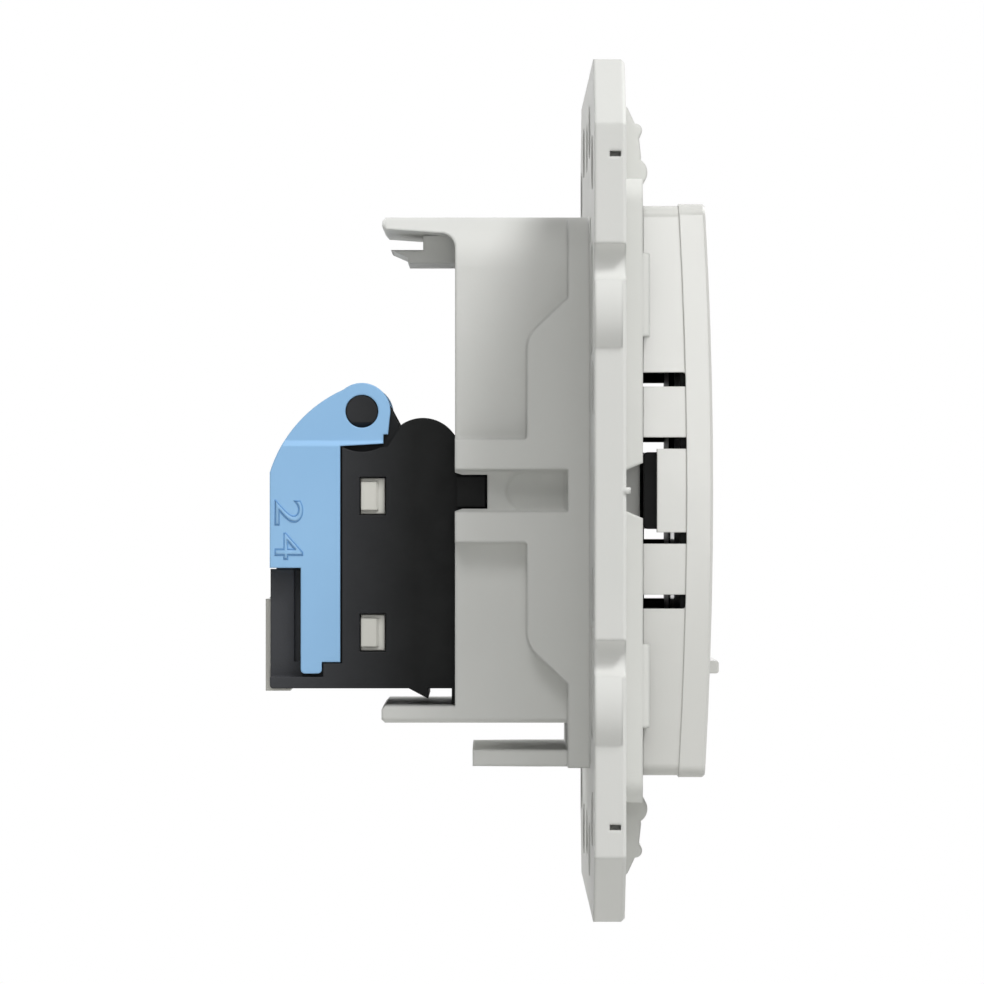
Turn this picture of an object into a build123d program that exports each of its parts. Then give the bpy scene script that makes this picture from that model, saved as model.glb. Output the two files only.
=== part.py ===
from build123d import *
import os

# Flush wall socket with one modular network jack, in millimetres.
# The wall plane is Y = 0, the room is towards -Y, the wall box towards +Y, and +Z is up.
# Lengths called front are measured from the wall towards the room, lengths called rear into the wall.

# Support frame plate
frame_pitch = 71.0
frame_thickness = 2.6
corner_cut = 5.6
edge_break = 0.3
screw_edge = 5.5
screw_hole = 4.0
slot_length = 8.0
pocket_depth = 1.0
pocket_width = 10.0
pocket_height = 9.0
pocket_round = 1.5
pocket_x = 24.0
pocket_z = 16.0
pip_size = 0.5
pip_length = 0.9
pip_proud = 0.35
side_slot_drop = 2.5
side_slot_height = 0.45
side_slot_length = 0.9
side_slot_depth = 1.5

# Keys on the frame's side edges, which join it to a neighbour
key_spacing = 32.3
key_lift = 1.05
key_notch_height = 2.9
key_notch_depth = 1.3
key_bump_height = 5.6
key_bump_depth = 1.0
key_clearance = 0.15

# Centre plate
plate_side = 47.9
plate_depth = 5.85
plate_corner = 1.0
plate_edge_break = 0.2
crown_sag = 0.7
rim_depth = 2.2
rim_step = 0.15
skirt_wall = 1.5
front_wall = 1.52
window_width = 12.8
window_bottom = -16.6
window_top = 2.8
window_chamfer = 0.5
arm_width = 4.24
arm_middle = 6.56
arm_gap = 0.95
slot_gap = 1.18
slot_round = 0.38
tongue_setback = 1.17
grip_rib_length = 30.0
grip_rib_setback = 0.33
grip_rib_depth = 2.5
grip_rib_height = 0.25

# Snap legs of the centre plate and stakes that hold the shutter guide
leg_width = 4.0
leg_wall = 1.2
leg_x = 17.0
hook_height = 0.6
hook_depth = 0.8
hook_clearance = 0.1
stake_radius = 1.0
stake_x = 16.0
stake_z = 17.0
stake_clearance = 0.05
stake_reach = 0.5

# Collar of the frame round the centre plate
collar_gap = 0.3
collar_wall = 1.9
collar_height = 1.6
plate_seat = 0.07
collar_notch_floor = 0.1
collar_notch_width = 3.3
collar_notch_mouth = 4.6
block_length = 6.9
block_z = 16.25
block_height = 0.56
block_inset = 0.1
stop_rib_x = 19.6
stop_rib_wall = 1.2
stop_rib_length = 7.0
stop_rib_drop = 0.1

# Noses on the frame's front that hold the outer surround
nose_x = 12.0
nose_width = 6.0
outer_nose_step = 3.55
outer_nose_front = 4.43
outer_nose_round = 0.6
inner_nose_gap = 1.05
inner_nose_front = 4.88
inner_nose_round = 1.25
nose_ramp = 1.9
nose_ramp_front = 3.2
nose_web_front = 4.1
nose_web_rise = 0.25

# Dust shutter and its guide
shutter_thickness = 1.0
shutter_gap = 0.1
shutter_overlap = 0.8
shutter_side_gap = 0.2
shutter_bottom = -17.4
shutter_top = 3.6
shutter_travel = 17.0
ridge_z = -15.33
ridge_height = 1.1
ridge_width = 9.0
ridge_reach = 1.28
finger_pitch = 6.7
finger_length = 3.4
finger_thickness = 0.8
finger_overlap = 1.2
finger_width = 2.8
guide_wall = 1.0
guide_gap = 0.3
guide_setback = 0.1
guide_tongue_gap = 0.27
guide_tongue_round = 0.35
guide_wall_height = 24.0

# Jack housing
jack_half = 8.6
jack_bottom = -17.04
jack_top = 4.8
jack_rear = 27.47
jack_seat = 0.1
foot_step = 1.33
foot_rear = 11.8
bump_top = 6.27
bump_middle = 14.32
bump_front = 11.55
bump_rear = 16.1
bump_rear_z = 5.72
tooth_rear = 15.5
tooth_front = 13.83
tooth_height = 0.89
core_top = 3.4
core_rear = 24.3
shell_wall = 1.2
cavity_front = 12.6
cavity_floor = -15.5
port_z = -5.2
port_width = 11.9
port_height = 7.2
port_depth = 14.8
latch_width = 6.4
latch_height = 1.6
tab_width = 3.4
tab_height = 0.8
nose_half = 7.4
nose_height = 16.0
nose_proud = 0.53
nose_clearance = 0.3
lug_rear = 11.35
lug_front = 8.88
lug_top = 1.21
lug_bottom = -1.41
lug_reach = 2.0
lug_clearance = 0.15
lug_flare = 0.35
lug_flare_depth = 0.6
side_window_rear = 19.73
side_window_front = 17.48
side_window_height = 3.27
upper_window_z = -0.47
lower_window_z = -12.24

# Hinge of the wire lever
pivot_rear = 19.55
pivot_z = 6.84
pivot_hole = 1.42
pivot_clearance = 0.06
hub_round = 2.45
ear_round = 2.0
ear_cheek = 2.25
ear_wall = 1.6
ear_front = 3.2
ear_back = 2.7
pin_flat = 0.95
pin_flat_depth = 0.5
hub_recess = 0.25
hub_ledge = 0.48

# Wire lever
cheek_wall = 1.25
cheek_clearance = 0.15
swing_clearance = 0.3
toe_gap = 0.12
relief_width = 0.6
relief_depth = 0.6
toe_round = 0.35
lever_rear = 27.48
lever_shoulder_z = 1.56
lever_heel_z = -6.66
leg_front = 21.41
leg_rear = 24.81
leg_foot_z = -15.76
leg_toe_z = -14.77
leg_toe = 23.0
yoke_z = 3.84
yoke_lift = 0.21
yoke_front = 1.85
yoke_step = 0.4
yoke_step_z = 4.85
lever_wall = 1.9
lever_bow = 1.04
lever_inner_bow = 0.5
crown_angle = 50.0
pusher_depth = 0.9
pusher_height = 0.8
cable_radius = 3.1
cable_z = -8.0

# Terminal carrier, wire terminals, board and plug contacts
carrier_clearance = 0.15
carrier_front = 15.1
carrier_rear = 24.1
latch_clearance = 0.1
latch_setback = 0.25
latch_pad_width = 1.3
latch_pad_length = 2.44
latch_pad_rise = 0.25
terminal_edge = 0.1
terminal_width = 1.7
terminal_thickness = 0.4
terminal_slit = 0.4
terminal_slit_depth = 3.0
terminal_tail = 0.8
terminal_rear = 23.9
upper_terminal_z = -2.6
lower_terminal_z = -5.0
wire_groove = 0.8
wire_groove_depth = 2.6
fit_clearance = 0.05
board_front = 13.1
board_thickness = 1.6
tail_proud = 0.2
contact_pitch = 1.016
contact_width = 0.45
contact_thickness = 0.35
contact_z = -0.9
contact_front = 2.0
contact_tip = 8.2
contact_drop = 3.4
contact_bend = 0.5
comb_front = 4.0
comb_height = 1.7
comb_rib = 0.4
comb_rib_depth = 0.75
comb_gap = 0.1

# Wire organiser
organiser_top = -9.4
organiser_rear = 27.94
organiser_lip = 0.3
organiser_lip_front = 25.8
organiser_gap = 0.05

# Holder behind the frame
jack_clearance = 0.2
holder_wall = 2.4
holder_depth = 11.5
holder_top = 23.62
roof_wall = 1.5
roof_tip_wall = 1.15
shoulder_round = 4.4
arm_reach = 17.8
arm_root_z = 20.85
tip_break = 0.3
shelf_gap = 0.1
shelf_wall = 1.43
shelf_edge_break = 0.3
lower_shelf_gap = 2.4
lower_shelf_wall = 1.37
lower_shelf_reach = 10.0
lower_shelf_half = 10.6
lower_shelf_tip = 9.8
lower_shelf_straight = 5.2
flange_depth = 1.85
rib_height = 2.2
tee_depth = 5.35
tee_top = 13.2
tee_foot = 16.5
tee_round = 2.5
rib_outer = 4.42
rib_inner = 1.79
recess_rear = 5.4
recess_depth = 0.3
recess_slope = 40.0
inner_round = 0.28
bar_half = 5.5
bar_bottom = 19.7
bar_wall = 1.17
bar_lip = 0.5
bar_reach = 15.6
bar_tip = 17.1
bar_web = 14.3

# Places that follow from the sizes above
frame_half = frame_pitch / 2
plate_half = plate_side / 2
skirt_half = plate_half - rim_step
skirt_inner = skirt_half - skirt_wall
collar_inner = skirt_half + collar_gap
collar_outer = collar_inner + collar_wall
collar_front = frame_thickness + collar_height
skirt_rear = collar_front + plate_seat
plate_front = skirt_rear + plate_depth
inner_face = plate_front - front_wall
shutter_front = inner_face - shutter_gap
guide_rear = inner_face - shutter_thickness - 2 * shutter_gap
shutter_half = window_width / 2 + shutter_overlap
channel_half = shutter_half + shutter_side_gap
guide_half = skirt_inner - guide_gap
leg_outer = skirt_inner
leg_inner = leg_outer - leg_wall
guide_top = leg_inner - guide_gap
arm_outer = arm_middle + arm_width / 2
arm_inner = arm_middle - arm_width / 2
slot_end = arm_outer + slot_gap
tongue_half = arm_inner - arm_gap
nose_front = skirt_rear + nose_proud
foot_bottom = jack_bottom - foot_step
core_half = jack_half - cheek_wall - cheek_clearance
cavity_half = core_half - shell_wall
cavity_top = core_top - shell_wall
carrier_half = cavity_half - carrier_clearance
cheek_inner = core_half + cheek_clearance
pin_radius = pivot_hole - pivot_clearance
holder_cavity = jack_half + jack_clearance
holder_half = holder_cavity + holder_wall
flange_half = holder_half + rib_height
holder_roof = holder_top - roof_wall
shelf_top = foot_bottom - shelf_gap
shelf_bottom = shelf_top - shelf_wall
lower_shelf_top = shelf_bottom - lower_shelf_gap
holder_bottom = lower_shelf_top - lower_shelf_wall
board_rear = board_front + board_thickness
side_window_middle = (side_window_rear + side_window_front) / 2
side_window_depth = side_window_rear - side_window_front
screw_spacing = frame_pitch - 2 * screw_edge
side_slot_z = frame_half - corner_cut - side_slot_drop
inner_nose_z = collar_outer + inner_nose_gap
outer_nose_z = inner_nose_z + outer_nose_step
terminal_pitch = (2 * carrier_half - 2 * terminal_edge - terminal_width) / 7
pin_end = jack_half - hub_recess - pivot_clearance
swing_round = Vector(yoke_front, pivot_z - yoke_z - yoke_lift).length + cheek_clearance
key_joins = (key_lift + key_spacing / 2, key_lift - key_spacing / 2)


def key_lobe(height, depth):
    """Segment of a circle on a side edge, bulging towards +X for a positive depth."""
    with BuildSketch(mode=Mode.PRIVATE) as lobe:
        with BuildLine():
            ThreePointArc((0, height / 2), (depth, 0), (0, -height / 2))
            Line((0, -height / 2), (0, height / 2))
        make_face()
    return lobe.sketch


def finish(piece, name):
    """Names a finished piece and writes it."""
    piece.part.label = name
    export_step(piece.part, f"parts/{name}.step")


os.makedirs("parts", exist_ok=True)

# Support frame, moulded in one with the jack holder
with BuildPart() as support_frame:
    # Square plate with cut corners and a broken front edge
    with BuildSketch(Plane.XZ) as outline:
        Rectangle(frame_pitch, frame_pitch)
        chamfer(outline.vertices(), corner_cut)
    extrude(amount=frame_thickness)
    chamfer(support_frame.faces().sort_by(Axis.Y)[0].outer_wire().edges(), edge_break)

    # Keyed side edges: bump below notch on the left, and the matching socket and lug on the right
    with BuildSketch(Plane.XZ):
        with Locations(*[(-frame_half, z - key_bump_height / 2) for z in key_joins]):
            add(key_lobe(key_bump_height, -key_bump_depth))
        with Locations(*[(frame_half, z + key_notch_height / 2) for z in key_joins]):
            add(key_lobe(key_notch_height - 2 * key_clearance, key_notch_depth - key_clearance))
    extrude(amount=frame_thickness - edge_break)
    with BuildSketch(Plane.XZ):
        with Locations(*[(-frame_half, z + key_notch_height / 2) for z in key_joins]):
            add(key_lobe(key_notch_height, key_notch_depth))
        with Locations(*[(frame_half, z - key_bump_height / 2) for z in key_joins]):
            add(key_lobe(key_bump_height + 2 * key_clearance, -key_bump_depth - key_clearance))
    extrude(amount=frame_thickness, mode=Mode.SUBTRACT)

    # Collar round the centre plate: a pick notch with a stop rib in each side, and blocks by the skirt
    with BuildSketch(Plane.XZ.offset(frame_thickness)):
        RectangleRounded(2 * collar_outer, 2 * collar_outer, collar_wall)
        Rectangle(2 * collar_inner, 2 * collar_inner, mode=Mode.SUBTRACT)
    extrude(amount=collar_height)
    with BuildSketch(Plane.YZ):
        notch_floor = frame_thickness + collar_notch_floor
        with BuildLine():
            Polyline(
                (-notch_floor, collar_notch_width / 2),
                (-collar_front, collar_notch_mouth / 2),
                (-collar_front, -collar_notch_mouth / 2),
                (-notch_floor, -collar_notch_width / 2),
                close=True,
            )
        make_face()
    extrude(amount=collar_outer, both=True, mode=Mode.SUBTRACT)
    with BuildSketch(Plane.XZ.offset(collar_front)):
        with GridLocations(collar_inner + collar_outer, 2 * block_z, 2, 2):
            Rectangle(collar_wall - 2 * block_inset, block_length)
    extrude(amount=block_height)
    with BuildSketch(Plane.XZ.offset(frame_thickness)):
        with GridLocations(2 * stop_rib_x, 0, 2, 1):
            Rectangle(stop_rib_wall, stop_rib_length)
    extrude(amount=collar_height - stop_rib_drop)

    # Rounded noses above and below the collar for the outer surround, each pair with a ramp and a web
    with BuildSketch(Plane.YZ.offset(-nose_x), Plane.YZ.offset(nose_x)):
        for side in (-1, 1):
            with BuildLine():
                Polyline(
                    (-frame_thickness, side * (outer_nose_z + outer_nose_round + nose_ramp)),
                    (-nose_ramp_front, side * (outer_nose_z + nose_ramp)),
                    (-nose_web_front, side * outer_nose_z),
                    (-nose_web_front - nose_web_rise, side * (inner_nose_z + inner_nose_round)),
                    (-nose_web_front, side * inner_nose_z),
                    (-frame_thickness, side * (inner_nose_z - inner_nose_round)),
                    close=True,
                )
            make_face()
            with Locations((outer_nose_round - outer_nose_front, side * outer_nose_z)):
                Circle(outer_nose_round)
            with Locations((inner_nose_round - inner_nose_front, side * inner_nose_z)):
                Circle(inner_nose_round)
    extrude(amount=nose_width / 2, both=True)
    with BuildSketch(Plane.XZ.offset(frame_thickness + pip_proud)):
        with GridLocations(frame_pitch - pip_size, 0, 2, 1):
            Circle(pip_size / 2)
    extrude(amount=-pip_length)

    # Holder: round-shouldered walls and roof, cut back behind the roof arm and the upper shelf
    with BuildSketch(Plane.XZ) as shell:
        with Locations((0, (holder_top + shelf_bottom) / 2)):
            Rectangle(2 * holder_half, holder_top - shelf_bottom)
        chamfer(shell.vertices().group_by(Axis.Y)[0], shelf_edge_break)
        fillet(shell.vertices().group_by(Axis.Y)[-1], shoulder_round)
    extrude(amount=-arm_reach)
    with BuildSketch(Plane.YZ):
        with BuildLine():
            arch = holder_roof - arm_root_z
            Line((holder_depth, shelf_top), (holder_depth, arm_root_z))
            RadiusArc((holder_depth, arm_root_z), (holder_depth + arch, holder_roof), arch)
            Line((holder_depth + arch, holder_roof), (arm_reach, holder_top - roof_tip_wall))
            Line((arm_reach, holder_top - roof_tip_wall), (arm_reach, shelf_top))
            Line((arm_reach, shelf_top), (holder_depth, shelf_top))
        make_face()
    extrude(amount=holder_half, both=True, mode=Mode.SUBTRACT)
    chamfer(support_frame.edges().filter_by(Axis.X).group_by(Axis.Y)[-1], tip_break)

    # Flange, T-shaped side ribs with the guide groove between them, and the lower shelf
    with BuildSketch(Plane.XZ) as flange:
        with Locations((0, (holder_top + holder_bottom) / 2)):
            Rectangle(2 * flange_half, holder_top - holder_bottom)
        fillet(flange.vertices().group_by(Axis.Y)[-1], shoulder_round + rib_height)
    extrude(amount=-flange_depth)
    with BuildSketch(Plane.YZ) as tee:
        with BuildLine():
            Polyline(
                (0, tee_foot),
                (flange_depth, tee_foot),
                (tee_depth, tee_top),
                (tee_depth, -tee_top),
                (flange_depth, -tee_foot),
                (0, -tee_foot),
                close=True,
            )
        make_face()
        fillet(tee.vertices().group_by(Axis.X)[-1], tee_round)
        with Locations((holder_depth / 2, 0)):
            Rectangle(holder_depth, 2 * rib_outer)
        with Locations(((flange_depth + holder_depth) / 2, 0)):
            Rectangle(holder_depth - flange_depth, 2 * rib_inner, mode=Mode.SUBTRACT)
        rib_corners = tee.vertices().filter_by_position(Axis.Y, -rib_outer, rib_outer)
        fillet(rib_corners.filter_by_position(Axis.X, flange_depth, tee_depth), inner_round)
    extrude(amount=flange_half, both=True)
    with BuildSketch(Plane.XY.offset(holder_bottom)):
        with BuildLine():
            Polyline(
                (-lower_shelf_half, 0),
                (-lower_shelf_half, lower_shelf_straight),
                (-lower_shelf_tip, lower_shelf_reach),
                (lower_shelf_tip, lower_shelf_reach),
                (lower_shelf_half, lower_shelf_straight),
                (lower_shelf_half, 0),
                close=True,
            )
        make_face()
    extrude(amount=lower_shelf_wall)

    # Jack bay, its front opening, the slots for the jack's lugs and the round-ended recesses in the grooves
    with BuildSketch(Plane.XZ):
        with Locations((0, (holder_roof + shelf_top) / 2)):
            Rectangle(2 * holder_cavity, holder_roof - shelf_top)
    extrude(amount=-arm_reach, mode=Mode.SUBTRACT)
    with BuildSketch(Plane.XZ):
        with Locations((0, port_z)):
            Rectangle(2 * (nose_half + nose_clearance), nose_height + 2 * nose_clearance)
    extrude(amount=frame_thickness, mode=Mode.SUBTRACT)
    with BuildSketch(Plane.YZ):
        with BuildLine():
            Polyline(
                (lug_front - lug_clearance, lug_top + lug_clearance),
                (holder_depth - lug_flare_depth, lug_top + lug_clearance),
                (holder_depth, lug_top + lug_flare),
                (holder_depth, lug_bottom - lug_flare),
                (holder_depth - lug_flare_depth, lug_bottom - lug_clearance),
                (lug_front - lug_clearance, lug_bottom - lug_clearance),
                close=True,
            )
        make_face()
    extrude(amount=holder_half, both=True, mode=Mode.SUBTRACT)
    with BuildSketch(Plane.YZ.offset(-holder_half), Plane.YZ.offset(holder_half)):
        with Locations((recess_rear, 0)):
            Circle(rib_inner)
        with Locations(((flange_depth + recess_rear) / 2, 0)):
            Rectangle(recess_rear - flange_depth, 2 * rib_inner)
    extrude(amount=recess_depth, both=True, taper=recess_slope, mode=Mode.SUBTRACT)

    # Latch bar under the roof, with a ramped tip
    with BuildSketch(Plane.YZ):
        with BuildLine():
            Polyline(
                (0, bar_bottom),
                (bar_reach, bar_bottom),
                (bar_reach, bar_bottom + bar_lip),
                (bar_tip, bar_bottom + bar_wall),
                (bar_web, bar_bottom + bar_wall),
                (bar_web, holder_roof),
                (0, holder_roof),
                close=True,
            )
        make_face()
    extrude(amount=bar_half, both=True)

    # Wall screw holes, levelling slots, leg windows with their ledges, rear pockets and edge slots
    with BuildSketch(Plane.XZ):
        with GridLocations(screw_spacing, 0, 2, 1):
            Circle(screw_hole / 2)
        with GridLocations(0, screw_spacing, 1, 2):
            SlotOverall(slot_length, screw_hole)
        with GridLocations(2 * leg_x, leg_inner + leg_outer, 2, 2):
            Rectangle(leg_width + 2 * hook_clearance, leg_wall + 2 * hook_clearance)
    extrude(amount=frame_thickness, mode=Mode.SUBTRACT)
    ledge_depth = 2 * hook_clearance + hook_depth
    with BuildSketch(Plane.XZ):
        with GridLocations(2 * leg_x, leg_inner + leg_outer + hook_height, 2, 2):
            Rectangle(leg_width + 2 * hook_clearance, leg_wall + hook_height + 2 * hook_clearance)
    extrude(amount=ledge_depth, mode=Mode.SUBTRACT)
    with BuildSketch(Plane.XZ):
        with GridLocations(2 * pocket_x, 2 * pocket_z, 2, 2):
            RectangleRounded(pocket_width, pocket_height, pocket_round)
    extrude(amount=pocket_depth, mode=Mode.SUBTRACT)
    slot_planes = [Plane.YZ.offset(side * frame_half) for side in (-1, 1)]
    with BuildSketch(*slot_planes):
        with GridLocations(0, 2 * side_slot_z, 1, 2):
            with Locations((-frame_thickness + side_slot_length, 0)):
                Rectangle(side_slot_length, side_slot_height)
    extrude(amount=side_slot_depth, both=True, mode=Mode.SUBTRACT)
finish(support_frame, "support_frame")

# Centre plate with crowned front, slotted skirt, shutter window and snap legs
with BuildPart() as centre_plate:
    rim_end = plate_front - crown_sag
    with BuildSketch(Plane.YZ):
        with BuildLine():
            ThreePointArc((-rim_end, plate_half), (-plate_front, 0), (-rim_end, -plate_half))
            Line((-rim_end, -plate_half), (rim_depth - rim_end, -plate_half))
            ThreePointArc(
                (rim_depth - rim_end, -plate_half),
                (rim_depth - plate_front, 0),
                (rim_depth - rim_end, plate_half),
            )
            Line((rim_depth - rim_end, plate_half), (-rim_end, plate_half))
        make_face()
    extrude(amount=plate_half, both=True)
    fillet(centre_plate.edges().filter_by(Axis.Y), plate_corner)
    chamfer(centre_plate.faces().sort_by(Axis.Y)[0].outer_wire().edges(), plate_edge_break)
    with BuildSketch(Plane.XZ.offset(skirt_rear)):
        RectangleRounded(2 * skirt_half, 2 * skirt_half, plate_corner)
    extrude(amount=inner_face - skirt_rear)
    with BuildSketch(Plane.XZ.offset(skirt_rear)):
        Rectangle(2 * skirt_inner, 2 * skirt_inner)
    extrude(amount=inner_face - skirt_rear, mode=Mode.SUBTRACT)

    # Arms and tongue cut free in both side skirts
    with BuildSketch(Plane.YZ) as slots:
        slot_front = plate_front - rim_depth
        with Locations((-(skirt_rear + slot_front) / 2, 0)):
            with GridLocations(0, arm_inner + tongue_half, 1, 2):
                Rectangle(slot_front - skirt_rear, arm_gap)
            with GridLocations(0, arm_outer + slot_end, 1, 2):
                Rectangle(slot_front - skirt_rear, slot_gap)
        slot_corners = slots.vertices().group_by(Axis.X)[0].sort_by(Axis.Y)
        fillet([slot_corners[0], slot_corners[-1]], slot_round)
        with Locations((-skirt_rear - tongue_setback / 2, 0)):
            Rectangle(tongue_setback, 2 * tongue_half)
    extrude(amount=skirt_half, both=True, mode=Mode.SUBTRACT)

    # Window for the plug, with a chamfered rim
    with BuildSketch(Plane.XZ.offset(inner_face)):
        with Locations((0, (window_top + window_bottom) / 2)):
            Rectangle(window_width, window_top - window_bottom)
    extrude(amount=front_wall, mode=Mode.SUBTRACT)
    front_face = centre_plate.faces().sort_by(Axis.Y)[0]
    chamfer(front_face.inner_wires()[0].edges(), window_chamfer)

    # Snap legs, guide stakes and the thin ribs along the top and bottom
    with BuildSketch(Plane.XZ.offset(hook_clearance)):
        with GridLocations(2 * leg_x, leg_inner + leg_outer, 2, 2):
            Rectangle(leg_width, leg_wall)
    extrude(amount=inner_face - hook_clearance)
    with BuildSketch(Plane.XZ.offset(hook_clearance)):
        with GridLocations(2 * leg_x, 2 * leg_outer + hook_height, 2, 2):
            Rectangle(leg_width, hook_height)
    extrude(amount=hook_depth)
    with BuildSketch(Plane.XZ.offset(guide_rear - stake_reach)):
        with GridLocations(2 * stake_x, 2 * stake_z, 2, 2):
            Circle(stake_radius)
    extrude(amount=inner_face - guide_rear + stake_reach)
    with BuildSketch(Plane.XZ.offset(skirt_rear + grip_rib_setback)):
        with GridLocations(0, 2 * skirt_half + grip_rib_height, 1, 2):
            Rectangle(grip_rib_length, grip_rib_height)
    extrude(amount=grip_rib_depth)
finish(centre_plate, "centre_plate")

# Shutter guide: flat frame behind the plate, with side walls and retaining fingers
with BuildPart() as shutter_guide:
    with BuildSketch(Plane.XZ.offset(guide_rear)):
        Rectangle(2 * guide_half, 2 * guide_top)
        channel_top = shutter_top + shutter_travel + shutter_side_gap
        channel_bottom = shutter_bottom - shutter_side_gap
        with Locations((0, (channel_top + channel_bottom) / 2)):
            Rectangle(2 * channel_half, channel_top - channel_bottom, mode=Mode.SUBTRACT)
        with GridLocations(2 * stake_x, 2 * stake_z, 2, 2):
            Circle(stake_radius + stake_clearance, mode=Mode.SUBTRACT)
    extrude(amount=inner_face - guide_rear)
    wall_planes = [Plane.YZ.offset(side * (guide_half - guide_wall / 2)) for side in (-1, 1)]
    guide_wall_rear = skirt_rear + guide_setback
    with BuildSketch(*wall_planes) as guide_walls:
        with Locations((-(guide_wall_rear + guide_rear) / 2, 0)):
            Rectangle(guide_rear - guide_wall_rear, guide_wall_height)
        with Locations((-(guide_wall_rear + guide_rear) / 2, 0)):
            Rectangle(guide_rear - guide_wall_rear, 2 * slot_end, mode=Mode.SUBTRACT)
            Rectangle(guide_rear - guide_wall_rear, 2 * (tongue_half - guide_tongue_gap))
            with GridLocations(0, 2 * arm_middle, 1, 2):
                Rectangle(guide_rear - guide_wall_rear, arm_width)
        fillet(guide_walls.vertices().group_by(Axis.X)[-1], guide_tongue_round)
    extrude(amount=guide_wall / 2, both=True)
    with BuildSketch(Plane.XZ.offset(guide_rear - finger_thickness)):
        finger_x = channel_half - finger_overlap + finger_width / 2
        with GridLocations(2 * finger_x, finger_pitch, 2, 5):
            Rectangle(finger_width, finger_length)
    extrude(amount=finger_thickness)
finish(shutter_guide, "shutter_guide")

# Dust shutter with the finger ridge that comes through the window
with BuildPart() as dust_shutter:
    with BuildSketch(Plane.XZ.offset(shutter_front - shutter_thickness)):
        with Locations((0, (shutter_top + shutter_bottom) / 2)):
            Rectangle(2 * shutter_half, shutter_top - shutter_bottom)
    extrude(amount=shutter_thickness)
    with BuildSketch(Plane.XZ.offset(shutter_front)):
        with Locations((0, ridge_z)):
            Rectangle(ridge_width, ridge_height)
    extrude(amount=plate_front + ridge_reach - shutter_front)
    ridge_top = dust_shutter.faces().sort_by(Axis.Y)[0]
    fillet(ridge_top.edges(), ridge_height / 4)
finish(dust_shutter, "dust_shutter")

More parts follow.
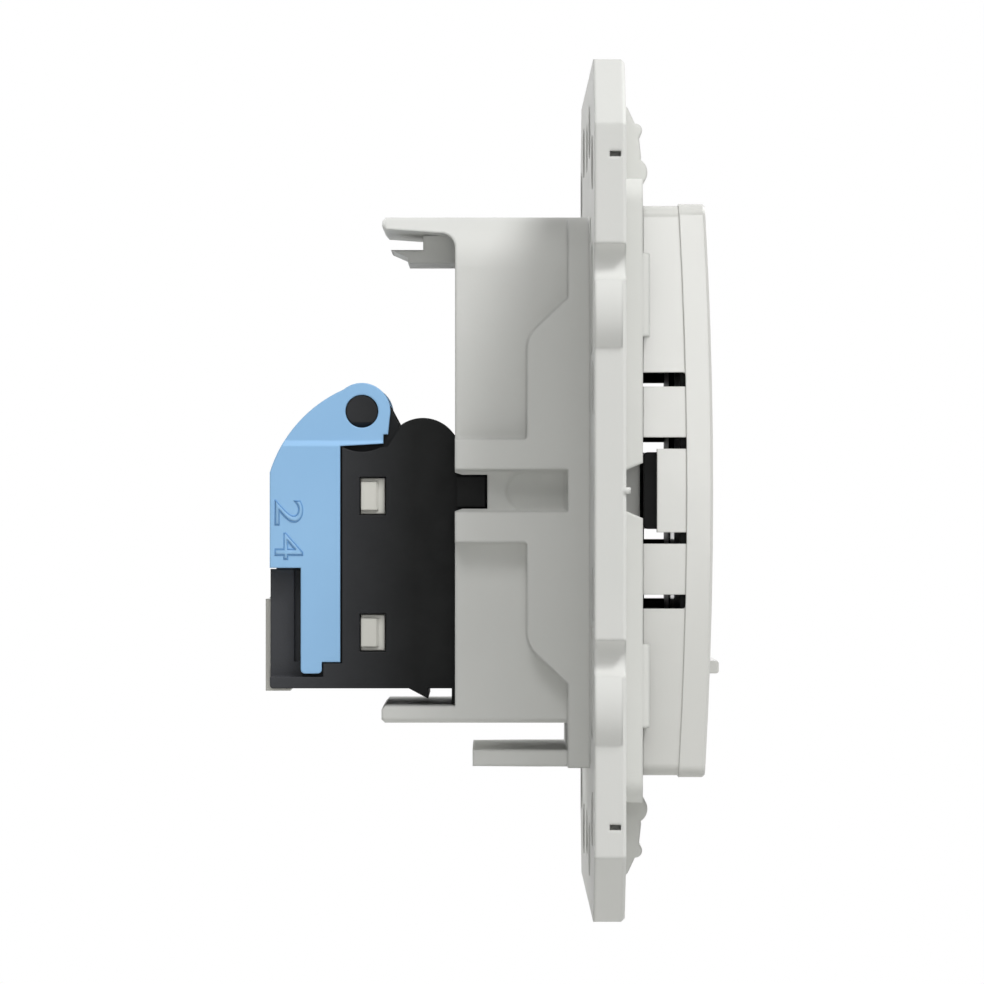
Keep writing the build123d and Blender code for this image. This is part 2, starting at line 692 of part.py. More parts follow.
# Jack housing
with BuildPart() as jack_housing:
    # Full-width flanks: round top, foot, tooth, strip under the lever's legs, hollow below the hinge
    flank_rear = leg_front - cheek_clearance
    flank_top = yoke_z - toe_gap
    strip_top = leg_foot_z - swing_clearance
    with BuildSketch(Plane.YZ) as flank:
        with BuildLine():
            Polyline(
                (bump_front, jack_top),
                (jack_seat, jack_top),
                (jack_seat, foot_bottom),
                (foot_rear, foot_bottom),
                (foot_rear, jack_bottom),
                (tooth_front, jack_bottom),
                (tooth_front, jack_bottom - tooth_height),
                (tooth_rear, jack_bottom),
                (jack_rear, jack_bottom),
                (jack_rear, strip_top),
                (leg_toe - toe_gap, strip_top),
                (leg_toe - toe_gap, leg_toe_z - toe_gap),
                (flank_rear, leg_toe_z - toe_gap),
                (flank_rear, flank_top),
                (pivot_rear - hub_round + swing_clearance, flank_top),
                (bump_rear, bump_rear_z),
            )
            ThreePointArc((bump_rear, bump_rear_z), (bump_middle, bump_top), (bump_front, jack_top))
        make_face()
        fillet(flank.vertices().group_by(Axis.X)[-1].sort_by(Axis.Y)[0], inner_round)
    extrude(amount=jack_half, both=True)
    with BuildSketch(Plane.YZ):
        with Locations((pivot_rear, pivot_z)):
            Circle(swing_round)
    extrude(amount=jack_half, both=True, mode=Mode.SUBTRACT)

    # Narrower core between the lever's cheeks, with ears and pins for the hinge
    with BuildSketch(Plane.YZ) as core:
        with BuildLine():
            Polyline(
                (jack_seat, core_top),
                (core_rear, core_top),
                (core_rear, lever_heel_z - toe_gap),
                (jack_rear, lever_heel_z - toe_gap),
                (jack_rear, jack_bottom),
                (jack_seat, jack_bottom),
                close=True,
            )
        make_face()
        fillet(core.vertices().group_by(Axis.X)[-1].sort_by(Axis.Y)[0], inner_round)
    extrude(amount=core_half, both=True)
    ear_planes = [Plane.YZ.offset(side * (core_half - ear_wall / 2)) for side in (-1, 1)]
    with BuildSketch(*ear_planes):
        with BuildLine():
            Polyline(
                (pivot_rear - ear_front, core_top - shell_wall),
                (pivot_rear - ear_front, bump_rear_z),
                (pivot_rear - ear_cheek, pivot_z + ear_round / 3),
                (pivot_rear + ear_round, pivot_z),
                (pivot_rear + ear_back, core_top - shell_wall),
                close=True,
            )
        make_face()
        with Locations((pivot_rear, pivot_z)):
            Circle(ear_round)
    extrude(amount=ear_wall / 2, both=True)
    with BuildSketch(Plane.YZ):
        with Locations((pivot_rear, pivot_z)):
            Circle(pin_radius)
    extrude(amount=pin_end, both=True)
    with BuildSketch(Plane.XZ.offset(-pivot_rear)):
        for side in (-1, 1):
            with BuildLine():
                Polyline(
                    (side * pin_end, pivot_z - pin_flat),
                    (side * pin_end, pivot_z - pivot_hole),
                    (side * (pin_end - pin_flat_depth), pivot_z - pivot_hole),
                    close=True,
                )
            make_face()
    extrude(amount=pin_radius, both=True, mode=Mode.SUBTRACT)
    with BuildSketch(Plane.YZ):
        with Locations((pivot_rear, pivot_z)):
            Circle(ear_round + cheek_clearance)
    extrude(amount=core_half - ear_wall, both=True, mode=Mode.SUBTRACT)

    # Nose through the frame and lugs in the holder's grooves
    with BuildSketch(Plane.XZ.offset(-jack_seat)):
        with Locations((0, port_z)):
            Rectangle(2 * nose_half, nose_height)
    extrude(amount=nose_front + jack_seat)
    with BuildSketch(Plane.YZ):
        with Locations(((lug_front + lug_rear) / 2, (lug_top + lug_bottom) / 2)):
            Rectangle(lug_rear - lug_front, lug_top - lug_bottom)
    extrude(amount=jack_half + lug_reach, both=True)

    # Relief grooves beside the lever's legs
    with BuildSketch(Plane.YZ.offset(-core_half), Plane.YZ.offset(core_half)):
        with Locations((leg_rear + relief_width / 2, (leg_toe_z + lever_heel_z) / 2)):
            Rectangle(relief_width, lever_heel_z - leg_toe_z)
    extrude(amount=relief_depth, both=True, mode=Mode.SUBTRACT)

    # Rear cavity open to the back, with four latch windows
    with BuildSketch(Plane.XZ.offset(-cavity_front)):
        with Locations((0, (cavity_top + cavity_floor) / 2)):
            Rectangle(2 * cavity_half, cavity_top - cavity_floor)
    extrude(amount=cavity_front - jack_rear, mode=Mode.SUBTRACT)
    with BuildSketch(Plane.YZ):
        with Locations((side_window_middle, upper_window_z), (side_window_middle, lower_window_z)):
            Rectangle(side_window_depth, side_window_height)
    extrude(amount=jack_half, both=True, mode=Mode.SUBTRACT)

    # Plug port with its stepped latch way, and the bay of the contact comb above it
    port_floor = port_z - port_height / 2
    port_roof = port_z + port_height / 2
    with BuildSketch(Plane.XZ.offset(nose_front)):
        with Locations((0, port_z)):
            Rectangle(port_width, port_height)
        with Locations((0, port_floor - latch_height / 2)):
            Rectangle(latch_width, latch_height)
        with Locations((0, port_floor - latch_height - tab_height / 2)):
            Rectangle(tab_width, tab_height)
    extrude(amount=-port_depth, mode=Mode.SUBTRACT)
    comb_half = 4 * contact_pitch + comb_rib
    comb_bay_half = comb_half + comb_gap
    comb_bottom = contact_z + contact_thickness / 2 + fit_clearance
    comb_top = comb_bottom + comb_height
    with BuildSketch(Plane.XZ.offset(contact_thickness - contact_front)):
        with Locations((0, (port_roof + comb_top + comb_gap) / 2)):
            Rectangle(2 * comb_bay_half, comb_top + comb_gap - port_roof)
    extrude(amount=contact_front - contact_thickness - cavity_front, mode=Mode.SUBTRACT)
finish(jack_housing, "jack_housing")

# Wire lever: two cheeks on the hinge pins, joined by a curved back
with BuildPart() as wire_lever:
    shoulder = (lever_rear, lever_shoulder_z)
    crown = Vector(pivot_rear, pivot_z) + Vector(hub_round, 0).rotate(Axis.Z, crown_angle)
    cheek_planes = [Plane.YZ.offset(side * (jack_half + cheek_inner) / 2) for side in (-1, 1)]
    with BuildSketch(*cheek_planes) as cheeks:
        with BuildLine():
            SagittaArc(crown, shoulder, lever_bow)
            Polyline(
                shoulder,
                (lever_rear, lever_heel_z),
                (leg_rear, lever_heel_z),
                (leg_rear, leg_foot_z),
                (leg_toe, leg_foot_z),
                (leg_toe, leg_toe_z),
                (leg_front, leg_toe_z),
                (leg_front, yoke_z),
                (pivot_rear - yoke_front, yoke_z + yoke_lift),
                (pivot_rear - yoke_front, yoke_step_z),
                (pivot_rear - yoke_front - yoke_step, yoke_step_z),
                (pivot_rear - hub_round, pivot_z),
                crown,
            )
        make_face()
        fillet(cheeks.vertices().group_by(Axis.Y)[0], toe_round)
        with Locations((pivot_rear, pivot_z)):
            Circle(hub_round)
            Circle(pivot_hole, mode=Mode.SUBTRACT)
    extrude(amount=(jack_half - cheek_inner) / 2, both=True)
    with BuildSketch(Plane.XZ.offset(-lever_rear)):
        for side in (-1, 1):
            with BuildLine():
                Polyline(
                    (side * jack_half, yoke_z),
                    (side * (jack_half - hub_recess), yoke_z + hub_ledge),
                    (side * (jack_half - hub_recess), pivot_z + 2 * hub_round),
                    (side * jack_half, pivot_z + 2 * hub_round),
                    close=True,
                )
            make_face()
    extrude(amount=2 * (lever_rear - pivot_rear), mode=Mode.SUBTRACT)
    back_front = lever_rear - lever_wall
    inner_shoulder = (back_front, lever_shoulder_z)
    inner_crown = (pivot_rear + hub_round + swing_clearance, pivot_z)
    with BuildSketch(Plane.YZ):
        with BuildLine():
            Line((back_front, lever_heel_z), (lever_rear, lever_heel_z))
            Line((lever_rear, lever_heel_z), shoulder)
            SagittaArc(crown, shoulder, lever_bow)
            Line(crown, inner_crown)
            SagittaArc(inner_crown, inner_shoulder, lever_inner_bow)
            Line(inner_shoulder, (back_front, lever_heel_z))
        make_face()
    extrude(amount=cheek_inner, both=True)
    with BuildSketch(Plane.YZ):
        with Locations(
            (back_front - pusher_depth / 2, upper_terminal_z),
            (back_front - pusher_depth / 2, lower_terminal_z),
        ):
            Rectangle(pusher_depth, pusher_height)
    extrude(amount=carrier_half, both=True)
    with BuildSketch(Plane.XZ.offset(-lever_rear)):
        with Locations((0, cable_z)):
            Circle(cable_radius)
    extrude(amount=lever_wall, mode=Mode.SUBTRACT)
finish(wire_lever, "wire_lever")

# Terminal carrier, held by four latch tabs in the housing's windows
column_x = [(index - 3.5) * terminal_pitch for index in range(8)]
row_z = [upper_terminal_z if index % 2 == 0 else lower_terminal_z for index in range(8)]
with BuildPart() as terminal_carrier:
    carrier_top = cavity_top - carrier_clearance
    carrier_floor = cavity_floor + carrier_clearance
    with BuildSketch(Plane.XZ.offset(-carrier_front)):
        with Locations((0, (carrier_top + carrier_floor) / 2)):
            Rectangle(2 * carrier_half, carrier_top - carrier_floor)
    extrude(amount=carrier_front - carrier_rear)
    tab_rear = side_window_rear - latch_clearance
    tab_front = side_window_front + latch_clearance
    pad_end = jack_half - latch_setback
    tab_end = pad_end - latch_pad_rise
    with BuildSketch(Plane.XY.offset(upper_window_z), Plane.XY.offset(lower_window_z)):
        with Locations((0, side_window_middle)):
            Rectangle(2 * tab_end, tab_rear - tab_front)
    extrude(amount=side_window_height / 2 - latch_clearance, both=True)
    with BuildSketch(Plane.XY.offset(upper_window_z), Plane.XY.offset(lower_window_z)):
        with BuildLine():
            Polyline(
                (-pad_end, tab_rear),
                (-pad_end, tab_rear - latch_pad_width),
                (-tab_end, tab_rear - latch_pad_width - latch_pad_rise),
                (tab_end, tab_rear - latch_pad_width - latch_pad_rise),
                (pad_end, tab_rear - latch_pad_width),
                (pad_end, tab_rear),
                close=True,
            )
        make_face()
    extrude(amount=latch_pad_length / 2, both=True)
    with BuildSketch(Plane.XZ.offset(-carrier_front)):
        with Locations(*zip(column_x, row_z)):
            Rectangle(terminal_width + 2 * fit_clearance, terminal_thickness + 2 * fit_clearance)
    extrude(amount=carrier_front - carrier_rear, mode=Mode.SUBTRACT)
    groove_floor = lower_terminal_z - terminal_width
    with BuildSketch(Plane.XZ.offset(-carrier_rear)):
        with Locations(*[(x, (carrier_top + groove_floor) / 2) for x in column_x]):
            Rectangle(wire_groove, carrier_top - groove_floor)
    extrude(amount=wire_groove_depth, mode=Mode.SUBTRACT)
finish(terminal_carrier, "terminal_carrier")

# Wire organiser at the lower rear, with a saddle for the cable
with BuildPart() as wire_organiser:
    organiser_floor = cavity_floor + carrier_clearance
    organiser_bottom = jack_bottom - organiser_lip
    flange_front = jack_rear + organiser_gap
    with BuildSketch(Plane.YZ):
        with BuildLine():
            Polyline(
                (core_rear, organiser_top),
                (organiser_rear, organiser_top),
                (organiser_rear, organiser_bottom),
                (organiser_lip_front, organiser_bottom),
                (organiser_lip_front, jack_bottom - organiser_gap),
                (flange_front, jack_bottom - organiser_gap),
                (flange_front, organiser_floor),
                (core_rear, organiser_floor),
                close=True,
            )
        make_face()
    extrude(amount=carrier_half, both=True)
    with BuildSketch(Plane.XZ.offset(-core_rear)):
        with Locations((0, cable_z)):
            Circle(cable_radius)
    extrude(amount=core_rear - organiser_rear, mode=Mode.SUBTRACT)
finish(wire_organiser, "wire_organiser")

# Circuit board with slots for the terminal tails and contact tails
contact_x = [(index - 3.5) * contact_pitch for index in range(8)]
with BuildPart() as circuit_board:
    with BuildSketch(Plane.XZ.offset(-board_front)):
        with Locations((0, (carrier_top + carrier_floor) / 2)):
            Rectangle(2 * carrier_half, carrier_top - carrier_floor)
        with Locations(*zip(column_x, row_z)):
            slot_width = terminal_tail + 2 * fit_clearance
            Rectangle(slot_width, terminal_thickness + 2 * fit_clearance, mode=Mode.SUBTRACT)
        with Locations(*[(x, contact_z) for x in contact_x]):
            slot_height = contact_thickness + 2 * fit_clearance
            Rectangle(contact_width + 2 * fit_clearance, slot_height, mode=Mode.SUBTRACT)
    extrude(amount=-board_thickness)
finish(circuit_board, "circuit_board")

# Contact comb: block over the plug contacts with a rib between each pair
with BuildPart() as contact_comb:
    comb_rear = cavity_front - comb_gap
    with BuildSketch(Plane.XZ.offset(-comb_rear)):
        with Locations((0, (comb_bottom + comb_top) / 2)):
            Rectangle(2 * comb_half, comb_height)
        with GridLocations(contact_pitch, 0, 9, 1):
            with Locations((0, comb_bottom - comb_rib_depth / 2)):
                Rectangle(comb_rib, comb_rib_depth)
    extrude(amount=comb_rear - comb_front)
finish(contact_comb, "contact_comb")

# Plug contacts: bent spring wires that lean back down into the port
for index, x in enumerate(contact_x):
    with BuildPart() as spring_contact:
        with BuildSketch(Plane.YZ.offset(x)):
            with BuildLine() as spring_path:
                FilletPolyline(
                    (board_rear + tail_proud, contact_z),
                    (contact_front, contact_z),
                    (contact_tip, contact_z - contact_drop),
                    radius=contact_bend,
                )
            trace(line_width=contact_thickness)
        extrude(amount=contact_width / 2, both=True)
    finish(spring_contact, f"spring_contact_{index + 1}")

# Wire terminals: slit blades with a narrow tail in the board
for index, (x, z) in enumerate(zip(column_x, row_z)):
    with BuildPart() as wire_terminal:
        with BuildSketch(Plane.XY.offset(z)):
            with Locations((x, (carrier_front + terminal_rear) / 2)):
                Rectangle(terminal_width, terminal_rear - carrier_front)
            with Locations((x, (board_front - tail_proud + carrier_front) / 2)):
                Rectangle(terminal_tail, carrier_front - board_front + tail_proud)
            with Locations((x, terminal_rear - terminal_slit_depth / 2)):
                Rectangle(terminal_slit, terminal_slit_depth, mode=Mode.SUBTRACT)
        extrude(amount=terminal_thickness / 2, both=True)
    finish(wire_terminal, f"wire_terminal_{index + 1}")
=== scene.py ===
import math
import bmesh
import bpy
from mathutils import Matrix, Vector


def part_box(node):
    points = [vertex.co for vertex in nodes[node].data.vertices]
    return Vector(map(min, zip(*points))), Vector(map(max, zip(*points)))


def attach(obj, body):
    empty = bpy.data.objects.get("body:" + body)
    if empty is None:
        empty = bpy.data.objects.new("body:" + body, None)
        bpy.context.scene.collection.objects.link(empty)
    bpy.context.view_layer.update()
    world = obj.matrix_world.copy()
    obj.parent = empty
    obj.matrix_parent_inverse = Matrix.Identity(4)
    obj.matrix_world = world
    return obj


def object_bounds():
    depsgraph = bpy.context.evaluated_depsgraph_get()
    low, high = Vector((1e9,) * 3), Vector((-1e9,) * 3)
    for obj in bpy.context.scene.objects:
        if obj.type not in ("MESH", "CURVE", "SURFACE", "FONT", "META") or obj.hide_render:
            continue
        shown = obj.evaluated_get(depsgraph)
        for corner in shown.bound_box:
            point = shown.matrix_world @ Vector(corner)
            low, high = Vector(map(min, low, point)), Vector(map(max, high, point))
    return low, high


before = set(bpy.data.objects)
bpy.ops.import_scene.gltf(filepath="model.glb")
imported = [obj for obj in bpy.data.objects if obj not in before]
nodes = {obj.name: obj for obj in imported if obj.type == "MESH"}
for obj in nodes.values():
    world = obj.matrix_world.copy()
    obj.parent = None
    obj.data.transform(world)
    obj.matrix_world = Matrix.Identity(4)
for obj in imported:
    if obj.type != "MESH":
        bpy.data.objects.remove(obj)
cad_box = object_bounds()

# Support frame: one moulding in white ABS, a square plate with cut corners and keyed sides,
# and the jack holder standing behind it. Its surface is satin, as from a spark-eroded mould,
# and its edges are slightly round.
plastic_ior = 1.53
pigment_mm = 8.0
flow_mm = 2.5
grain_mm = 0.25
flow_range = (0.3, 0.7)
gloss_range = (0.9, 1.12)
edge_samples = 6


def linear(code):
    """Linear colour of an sRGB hex value."""
    parts = [int(code[at:at + 2], 16) / 255 for at in (1, 3, 5)]
    return tuple(p / 12.92 if p <= 0.04045 else ((p + 0.055) / 1.055) ** 2.4 for p in parts) + (1.0,)


def node(tree, kind, inputs=None, **settings):
    """Adds a node with its settings, and fills its sockets with values or with links."""
    made = tree.nodes.new("ShaderNode" + kind)
    for key, value in settings.items():
        setattr(made, key, value)
    for key, value in (inputs or {}).items():
        if isinstance(value, bpy.types.NodeSocket):
            tree.links.new(value, made.inputs[key])
        else:
            made.inputs[key].default_value = value
    return made


def blank(name):
    """New material with an empty node tree, and its Object coordinates."""
    material = bpy.data.materials.new(name)
    material.use_nodes = True
    material.node_tree.nodes.clear()
    return material, material.node_tree, node(material.node_tree, "TexCoord").outputs["Object"]


def moulded(name, colour, shade, gloss, grain_um, edge_mm=0.25, shine=0.3, painted_sheen=None):
    """Moulded plastic: slow drift of the pigment, spark-eroded grain, uneven gloss and soft edges.

    The last argument is a painted reflection that makes the colour paler along Y: its colour, and the
    places in mm where it starts and is full.
    """
    material, tree, place = blank(name)
    drift = node(tree, "TexNoise", {"Vector": place, "Scale": 1000 / pigment_mm, "Detail": 3.0})
    # Inputs 6 and 7 of a Mix node are its two colours, and output 2 is the mixed one
    tint = node(tree, "Mix", {0: drift.outputs[0], 6: linear(colour), 7: linear(shade)}, data_type="RGBA")
    # Painted reflection: the colour turns paler along Y, towards the rear of the part
    if painted_sheen:
        sheen_pale, start, full = painted_sheen
        depth = node(tree, "SeparateXYZ", {0: place}).outputs[1]
        reach = node(tree, "MapRange", {0: depth, 1: start / 1000, 2: full / 1000}).outputs[0]
        tint = node(tree, "Mix", {0: reach, 6: tint.outputs[2], 7: linear(sheen_pale)}, data_type="RGBA")
    flow = node(tree, "TexNoise", {"Vector": place, "Scale": 1000 / flow_mm, "Detail": 2.0})
    rough = node(tree, "MapRange", {
        0: flow.outputs[0],
        1: flow_range[0],
        2: flow_range[1],
        3: gloss * gloss_range[0],
        4: gloss * gloss_range[1],
    })
    soft_edge = node(tree, "Bevel", {"Radius": edge_mm / 1000}, samples=edge_samples)
    grain = node(tree, "TexNoise", {
        "Vector": place,
        "Scale": 1000 / grain_mm,
        "Detail": 2.0,
        "Roughness": 0.6,
    })
    relief = node(tree, "Bump", {
        "Strength": 1.0,
        "Distance": grain_um * 1e-6,
        "Height": grain.outputs[0],
        "Normal": soft_edge.outputs[0],
    })
    skin = node(tree, "BsdfPrincipled", {
        "Base Color": tint.outputs[2],
        "Roughness": rough.outputs[0],
        "IOR": plastic_ior,
        "Specular IOR Level": shine,
        "Normal": relief.outputs[0],
    })
    node(tree, "OutputMaterial", {"Surface": skin.outputs[0]})
    return material


def dress(material, *names):
    """Gives CAD nodes their finish."""
    for name in names:
        nodes[name].data.materials.clear()
        nodes[name].data.materials.append(material)


# Spark-eroded ABS: even, slightly grey white without sparkle, with a broad soft sheen
frame_abs = moulded(
    "spark-eroded white ABS", "#DBDBD8", "#D7D8D4", gloss=0.5, grain_um=5.0, edge_mm=0.4, shine=0.1,
)
dress(frame_abs, "support_frame")

# Ejector marks: round pins pushed the warm moulding out of its tool by the rear of the plate,
# and the gap about each pin left a low ring there, less than a tenth of a millimetre high.
pin_radius = 0.002
ring_width = 0.0003
ring_height = 0.00008
ring_root = 0.00005
ring_slope = 0.3
ring_steps = 40
pin_corners = ((0.0272, 0.0272), (0.0295, 0.0085), (0.0145, 0.0305))
pin_places = [(sign_x * x, sign_z * z) for x, z in pin_corners for sign_x in (-1, 1) for sign_z in (-1, 1)]
ring_section = (
    (0, -ring_root),
    (ring_width, -ring_root),
    (ring_width * (1 - ring_slope), ring_height),
    (ring_width * ring_slope, ring_height),
)
shape = bmesh.new()
for x, z in pin_places:
    section = [shape.verts.new((x + pin_radius + across, height, z)) for across, height in ring_section]
    outline = [shape.edges.new((section[at - 1], section[at])) for at in range(len(section))]
    bmesh.ops.spin(
        shape,
        geom=section + outline,
        cent=(x, 0, z),
        axis=(0, 1, 0),
        angle=2 * math.pi,
        steps=ring_steps,
        use_merge=True,
    )
bmesh.ops.recalc_face_normals(shape, faces=shape.faces)
ring_mesh = bpy.data.meshes.new("ejector_marks")
shape.to_mesh(ring_mesh)
shape.free()
ring_mesh.materials.append(frame_abs)
rings = bpy.data.objects.new("ejector_marks", ring_mesh)
bpy.context.scene.collection.objects.link(rings)
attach(rings, "base")

# Jack housing and contact comb: black polycarbonate with glass fibre, moulded thin and stiff.
# The housing slides into the holder from behind, and its two side lugs sit in the holder's slots.

# Glass-filled polycarbonate: deep neutral black, its matt skin a little mottled by the fibres,
# and a painted reflection that turns it to a dark grey towards the rear
jack_black = moulded(
    "glass-filled black polycarbonate", "#101111", "#141515", gloss=0.5, grain_um=9.0, edge_mm=0.18,
    # Painted reflection: paler towards the rear along Y
    shine=0.12, painted_sheen=("#404144", 15.0, 27.0),
)
dress(jack_black, "jack_housing", "contact_comb")

# Spring contacts: eight hard phosphor-bronze wires, plated with gold where the plug touches them.
# They are bent to a narrow hairpin and soldered into the board behind the plug port.
wire_count = 8
streak_mm = (0.06, 1.5, 0.06)
gold_roughness = (0.2, 0.36)

# Gold-plated bronze: warm metal, drawn lengthwise, so its streaks run along the wire
plated_gold, tree, place = blank("gold-plated phosphor bronze")
along = node(tree, "Mapping", {"Vector": place, "Scale": tuple(1000 / size for size in streak_mm)})
draw_marks = node(tree, "TexNoise", {"Vector": along.outputs[0], "Scale": 1.0, "Detail": 2.0}).outputs[0]
warm = node(tree, "Mix", {0: draw_marks, 6: linear("#D9B465"), 7: linear("#C79C4C")}, data_type="RGBA")
worn = node(tree, "MapRange", {0: draw_marks, 3: gold_roughness[0], 4: gold_roughness[1]})
metal = node(tree, "BsdfPrincipled", {
    "Base Color": warm.outputs[2],
    "Metallic": 1.0,
    "Roughness": worn.outputs[0],
})
node(tree, "OutputMaterial", {"Surface": metal.outputs[0]})
dress(plated_gold, *[f"spring_contact_{count}" for count in range(1, wire_count + 1)])

# Circuit board: glass-epoxy sheet under green lacquer, pressed against the carrier.
# It takes the feet of the spring contacts and those of the wire terminals.
thread_mm = 0.5
thread_wobble = 0.6

# A wave of scale 1 has about this many bands and gaps to the metre
wave_bands = 6.3

# Green solder lacquer: glossy film over a woven glass cloth
lacquer, tree, place = blank("green lacquered glass epoxy")
weave = {"Vector": place, "Scale": 1000 / (thread_mm * wave_bands), "Distortion": thread_wobble}
warp, weft = [node(tree, "TexWave", weave, bands_direction=axis).outputs[1] for axis in ("X", "Z")]
cloth = node(tree, "Math", {0: warp, 1: weft}, operation="MULTIPLY").outputs[0]
green = node(tree, "Mix", {0: cloth, 6: linear("#1F5A35"), 7: linear("#2B6E43")}, data_type="RGBA")
film = node(tree, "BsdfPrincipled", {"Base Color": green.outputs[2], "Roughness": 0.28, "IOR": 1.55})
node(tree, "OutputMaterial", {"Surface": film.outputs[0]})
dress(lacquer, "circuit_board")

# Wire terminals: eight forked blades stamped from bronze strip and plated with tin.
# Each fork cuts through the insulation of one wire that the lever pushes into it.
cloud_mm = 0.8
tin_roughness = (0.26, 0.44)

# Tin plating: soft grey metal with a cloudy, slightly wavy gloss from the plating bath
plated_tin, tree, place = blank("tin-plated bronze")
cloud = node(tree, "TexNoise", {"Vector": place, "Scale": 1000 / cloud_mm, "Detail": 4.0}).outputs[0]
grey = node(tree, "Mix", {0: cloud, 6: linear("#C9C8C3"), 7: linear("#B5B4AF")}, data_type="RGBA")
haze = node(tree, "MapRange", {0: cloud, 3: tin_roughness[0], 4: tin_roughness[1]})
metal = node(tree, "BsdfPrincipled", {
    "Base Color": grey.outputs[2],
    "Metallic": 1.0,
    "Roughness": haze.outputs[0],
})
node(tree, "OutputMaterial", {"Surface": metal.outputs[0]})
dress(plated_tin, *[f"wire_terminal_{count}" for count in range(1, wire_count + 1)])

# Terminal carrier and wire organiser: undyed polycarbonate, moulded and left its natural colour.
# The carrier's four tabs show in the housing's side windows, and the organiser closes the rear
# below the lever.

# Undyed polycarbonate: a milky, faintly warm white with a smooth satin skin
milky = moulded("natural white polycarbonate", "#D8D7D0", "#D1D0C8", gloss=0.42, grain_um=3.0, edge_mm=0.2)
dress(milky, "terminal_carrier", "wire_organiser")

# Wire lever: light blue ABS, two cheeks hinged on the housing's pins and joined by a curved back.
# Swung up it opens the way for the wires, and pressed down it pushes them all into the terminals.

# Dyed ABS: clean light blue with a faint drift of the dye, and a smooth satin skin
lever_blue = moulded("light blue ABS", "#96C3EA", "#8FBCE5", gloss=0.42, grain_um=3.5, edge_mm=0.2)
dress(lever_blue, "wire_lever")

# Wire numbers: small raised figures on both cheeks of the lever, moulded with it.
# They read from the top down, and stand less than a tenth of a millimetre proud.
figure_height = 0.0034
figure_stretch = 1.4
figure_proud = 0.00008
figure_inset = 0.00004
shade_line_radius = 0.00006
figure_y = 0.02583
upper_z = -0.00188
lower_z = -0.00479

# Figure rims: painted shade, a thin tube of deeper, matt blue along each figure's outline, standing in for
# the shade at so fine an edge, which shows mostly as a thin dark line
painted_shade_blue = moulded("light blue ABS with painted shade", "#6C9ED2", "#6496CA", gloss=0.5, grain_um=3.5, edge_mm=0.05)
lever_low, lever_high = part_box("wire_lever")
cheeks = {
    -1: (("2", upper_z), ("4", lower_z)),
    1: (("1", upper_z), ("3", lower_z)),
}
figure_parts = {
    "": (lever_blue, {"extrude": figure_proud, "offset": -figure_inset}),
    # Painted shade: the outline tube in deeper blue draws the shade along each figure's edge
    "_painted_shade": (painted_shade_blue, {"fill_mode": "NONE", "bevel_depth": shade_line_radius, "bevel_resolution": 1}),
}
for side, figures in cheeks.items():
    reading = Vector((0, 0, -1))
    facing = Vector((side, 0, 0))
    turn = Matrix((reading, facing.cross(reading), facing)).transposed().to_4x4()
    widen = Matrix.Scale(figure_stretch, 4, (1, 0, 0))
    cheek_x = lever_high.x if side > 0 else lever_low.x
    for figure, height in figures:
        to_cheek = Matrix.Translation((cheek_x, figure_y, height)) @ turn @ widen
        for ending, (skin, shaping) in figure_parts.items():
            outline = bpy.data.curves.new("wire_number", "FONT")
            outline.body = figure
            outline.size = figure_height
            for key, value in shaping.items():
                setattr(outline, key, value)
            writing = bpy.data.objects.new("wire_number", outline)
            bpy.context.scene.collection.objects.link(writing)
            bpy.context.view_layer.update()
            drawn = writing.evaluated_get(bpy.context.evaluated_depsgraph_get())
            mesh = bpy.data.meshes.new_from_object(drawn)
            bpy.data.objects.remove(writing)
            corners = [Vector(corner.co) for corner in mesh.vertices]
            low = Vector([min(corner[axis] for corner in corners) for axis in range(3)])
            high = Vector([max(corner[axis] for corner in corners) for axis in range(3)])
            mesh.transform(to_cheek @ Matrix.Translation(-(low + high) / 2))
            mesh.materials.clear()
            mesh.materials.append(skin)
            number = bpy.data.objects.new("wire_number_" + figure + ending, mesh)
            bpy.context.scene.collection.objects.link(number)
            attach(number, "lever")

# Shutter guide: black ABS sheet staked behind the centre plate, with two side walls and retaining fingers.
# It carries the dust shutter, and its walls show as dark bars in the slots of the plate's skirt.

# Black ABS: a plain, even black with a soft satin skin
guide_black = moulded("black ABS", "#141515", "#181919", gloss=0.46, grain_um=4.0, edge_mm=0.15, shine=0.12)
dress(guide_black, "shutter_guide")

# Centre plate and dust shutter: white ABS from a polished mould, the face that is seen in the room.
# Four snap legs hold the plate in the frame, and the shutter slides up behind its window.

# Polished ABS: a slightly deeper white than the frame's, lifted by its clearer sheen
plate_abs = moulded(
    "polished white ABS", "#CCCCC8", "#C8C8C4", gloss=0.14, grain_um=0.6, edge_mm=0.12, shine=0.4,
)
dress(plate_abs, "centre_plate", "dust_shutter")

# Studio: a pale paper floor below the part, six round soft boxes about it, and a faint even dome.
# The background is plain white for the eye and for gloss, and lights the part at a lower level.
floor_radius = 0.55
floor_segments = 96
floor_drop = 0.06
fibre_mm = 1.5
dome_level = 0.03
floor_mesh = bpy.data.meshes.new("paper_floor")
shape = bmesh.new()
bmesh.ops.create_circle(shape, cap_ends=True, segments=floor_segments, radius=floor_radius)
bmesh.ops.translate(shape, verts=shape.verts, vec=(0, 0, cad_box[0][2] - floor_drop))
shape.to_mesh(floor_mesh)
shape.free()

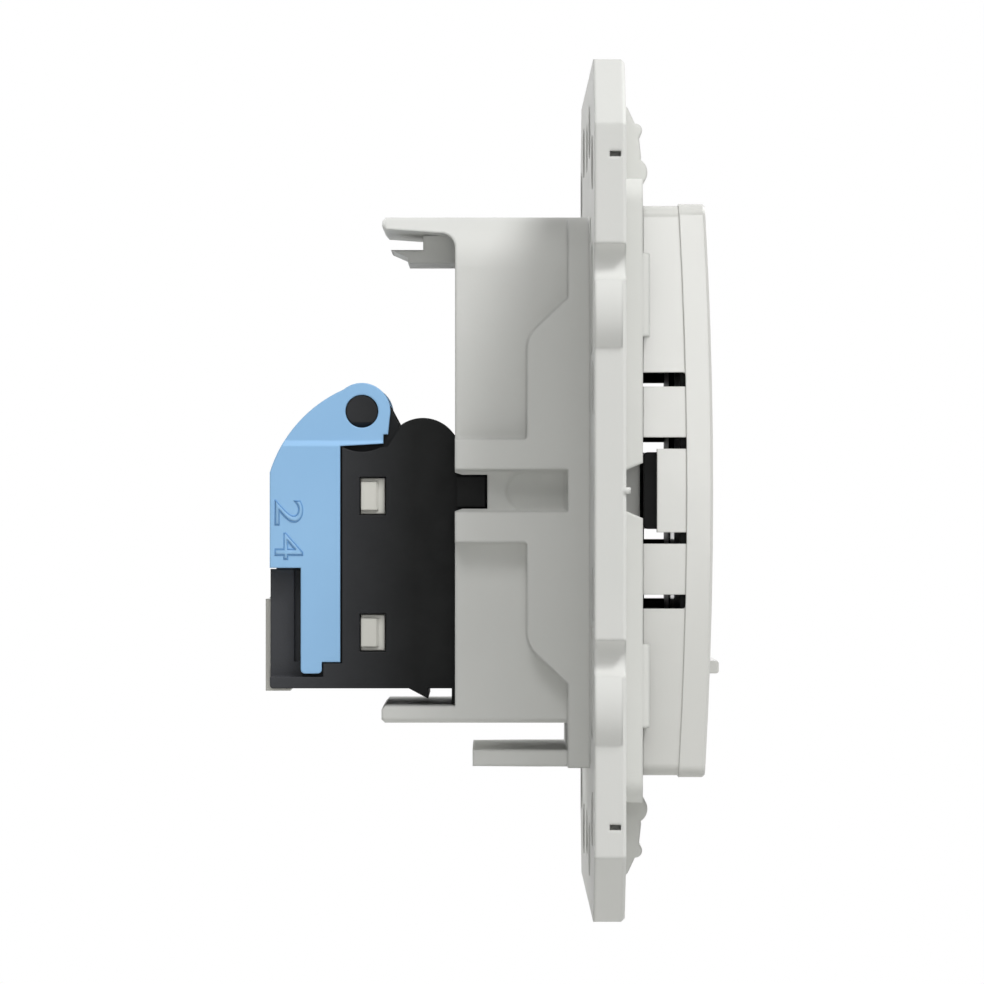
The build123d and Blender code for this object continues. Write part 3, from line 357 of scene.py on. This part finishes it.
# Matt paper: pale, faintly clouded by its fibres, and clear from below so that it never hides the part
paper, tree, place = blank("matt white paper")
fibre = node(tree, "TexNoise", {"Vector": place, "Scale": 1000 / fibre_mm, "Detail": 4.0}).outputs[0]
pulp = node(tree, "Mix", {0: fibre, 6: linear("#DADAD8"), 7: linear("#D5D5D3")}, data_type="RGBA")
sheet = node(tree, "BsdfPrincipled", {"Base Color": pulp.outputs[2], "Roughness": 0.9})
through = node(tree, "BsdfTransparent")
under = node(tree, "NewGeometry").outputs["Backfacing"]
side_mix = node(tree, "MixShader", {0: under, 1: sheet.outputs[0], 2: through.outputs[0]})
node(tree, "OutputMaterial", {"Surface": side_mix.outputs[0]})
floor_mesh.materials.append(paper)
floor = bpy.data.objects.new("paper_floor", floor_mesh)
bpy.context.scene.collection.objects.link(floor)

world = bpy.data.worlds.new("white studio")
bpy.context.scene.world = world
world.use_nodes = True
tree = world.node_tree
tree.nodes.clear()
ray = node(tree, "LightPath").outputs
seen = node(tree, "Math", {0: ray["Is Camera Ray"], 1: ray["Is Glossy Ray"]}, operation="MAXIMUM")
shown = node(tree, "Math", {0: seen.outputs[0], 1: ray["Is Transmission Ray"]}, operation="MAXIMUM")
dome = node(tree, "Background", {"Color": (1, 1, 1, 1), "Strength": dome_level})
white = node(tree, "Background", {"Color": (1, 1, 1, 1), "Strength": 1.0})
both = node(tree, "MixShader", {0: shown.outputs[0], 1: dome.outputs[0], 2: white.outputs[0]})
node(tree, "OutputWorld", {"Surface": both.outputs[0]})

# Soft boxes by name: degrees of turn from the frame's left-hand side towards the room, degrees of rise,
# diameter in metres, and level, which is how bright a white surface that faces the box becomes
soft_boxes = {
    "key_box": (36, 56, 0.2, 0.6),
    "side_box": (-14, 46, 0.3, 0.24),
    "fill_box": (18, 28, 0.3, 0.13),
    "camera_box": (2, 5, 0.16, 0.07),
    "room_box": (118, 25, 0.6, 0.5),
    "rear_box": (-145, 25, 0.6, 0.47),
}
box_distance = 0.75
for name, (swing, rise, size, level) in soft_boxes.items():
    lamp = bpy.data.lights.new(name, "AREA")
    lamp.shape = "DISK"
    lamp.size = size
    lamp.energy = level * (math.pi * box_distance) ** 2
    soft_box = bpy.data.objects.new(name, lamp)
    aim = Matrix.Rotation(math.radians(swing), 3, "Z") @ Matrix.Rotation(math.radians(rise), 3, "Y")
    soft_box.location = aim @ Vector((-box_distance, 0, 0))
    soft_box.rotation_euler = (-soft_box.location).to_track_quat("-Z", "Y").to_euler()
    bpy.context.scene.collection.objects.link(soft_box)

# Camera: level with the middle of the frame and square on to its left-hand edge,
# from 0.45 m in front of that edge.
lens_mm = 202.5
sensor_mm = 36.0
nearest_seen = 0.01
camera_place = (-0.4855, 0.00833, -0.00012)
lens = bpy.data.cameras.new("side_view")
lens.sensor_width = sensor_mm
lens.lens = lens_mm
lens.clip_start = nearest_seen
camera = bpy.data.objects.new("side_view", lens)
camera.location = camera_place
camera.rotation_euler = (math.radians(90), 0, math.radians(-90))
bpy.context.scene.collection.objects.link(camera)
bpy.context.scene.camera = camera
bpy.context.scene.view_settings.view_transform = "Standard"
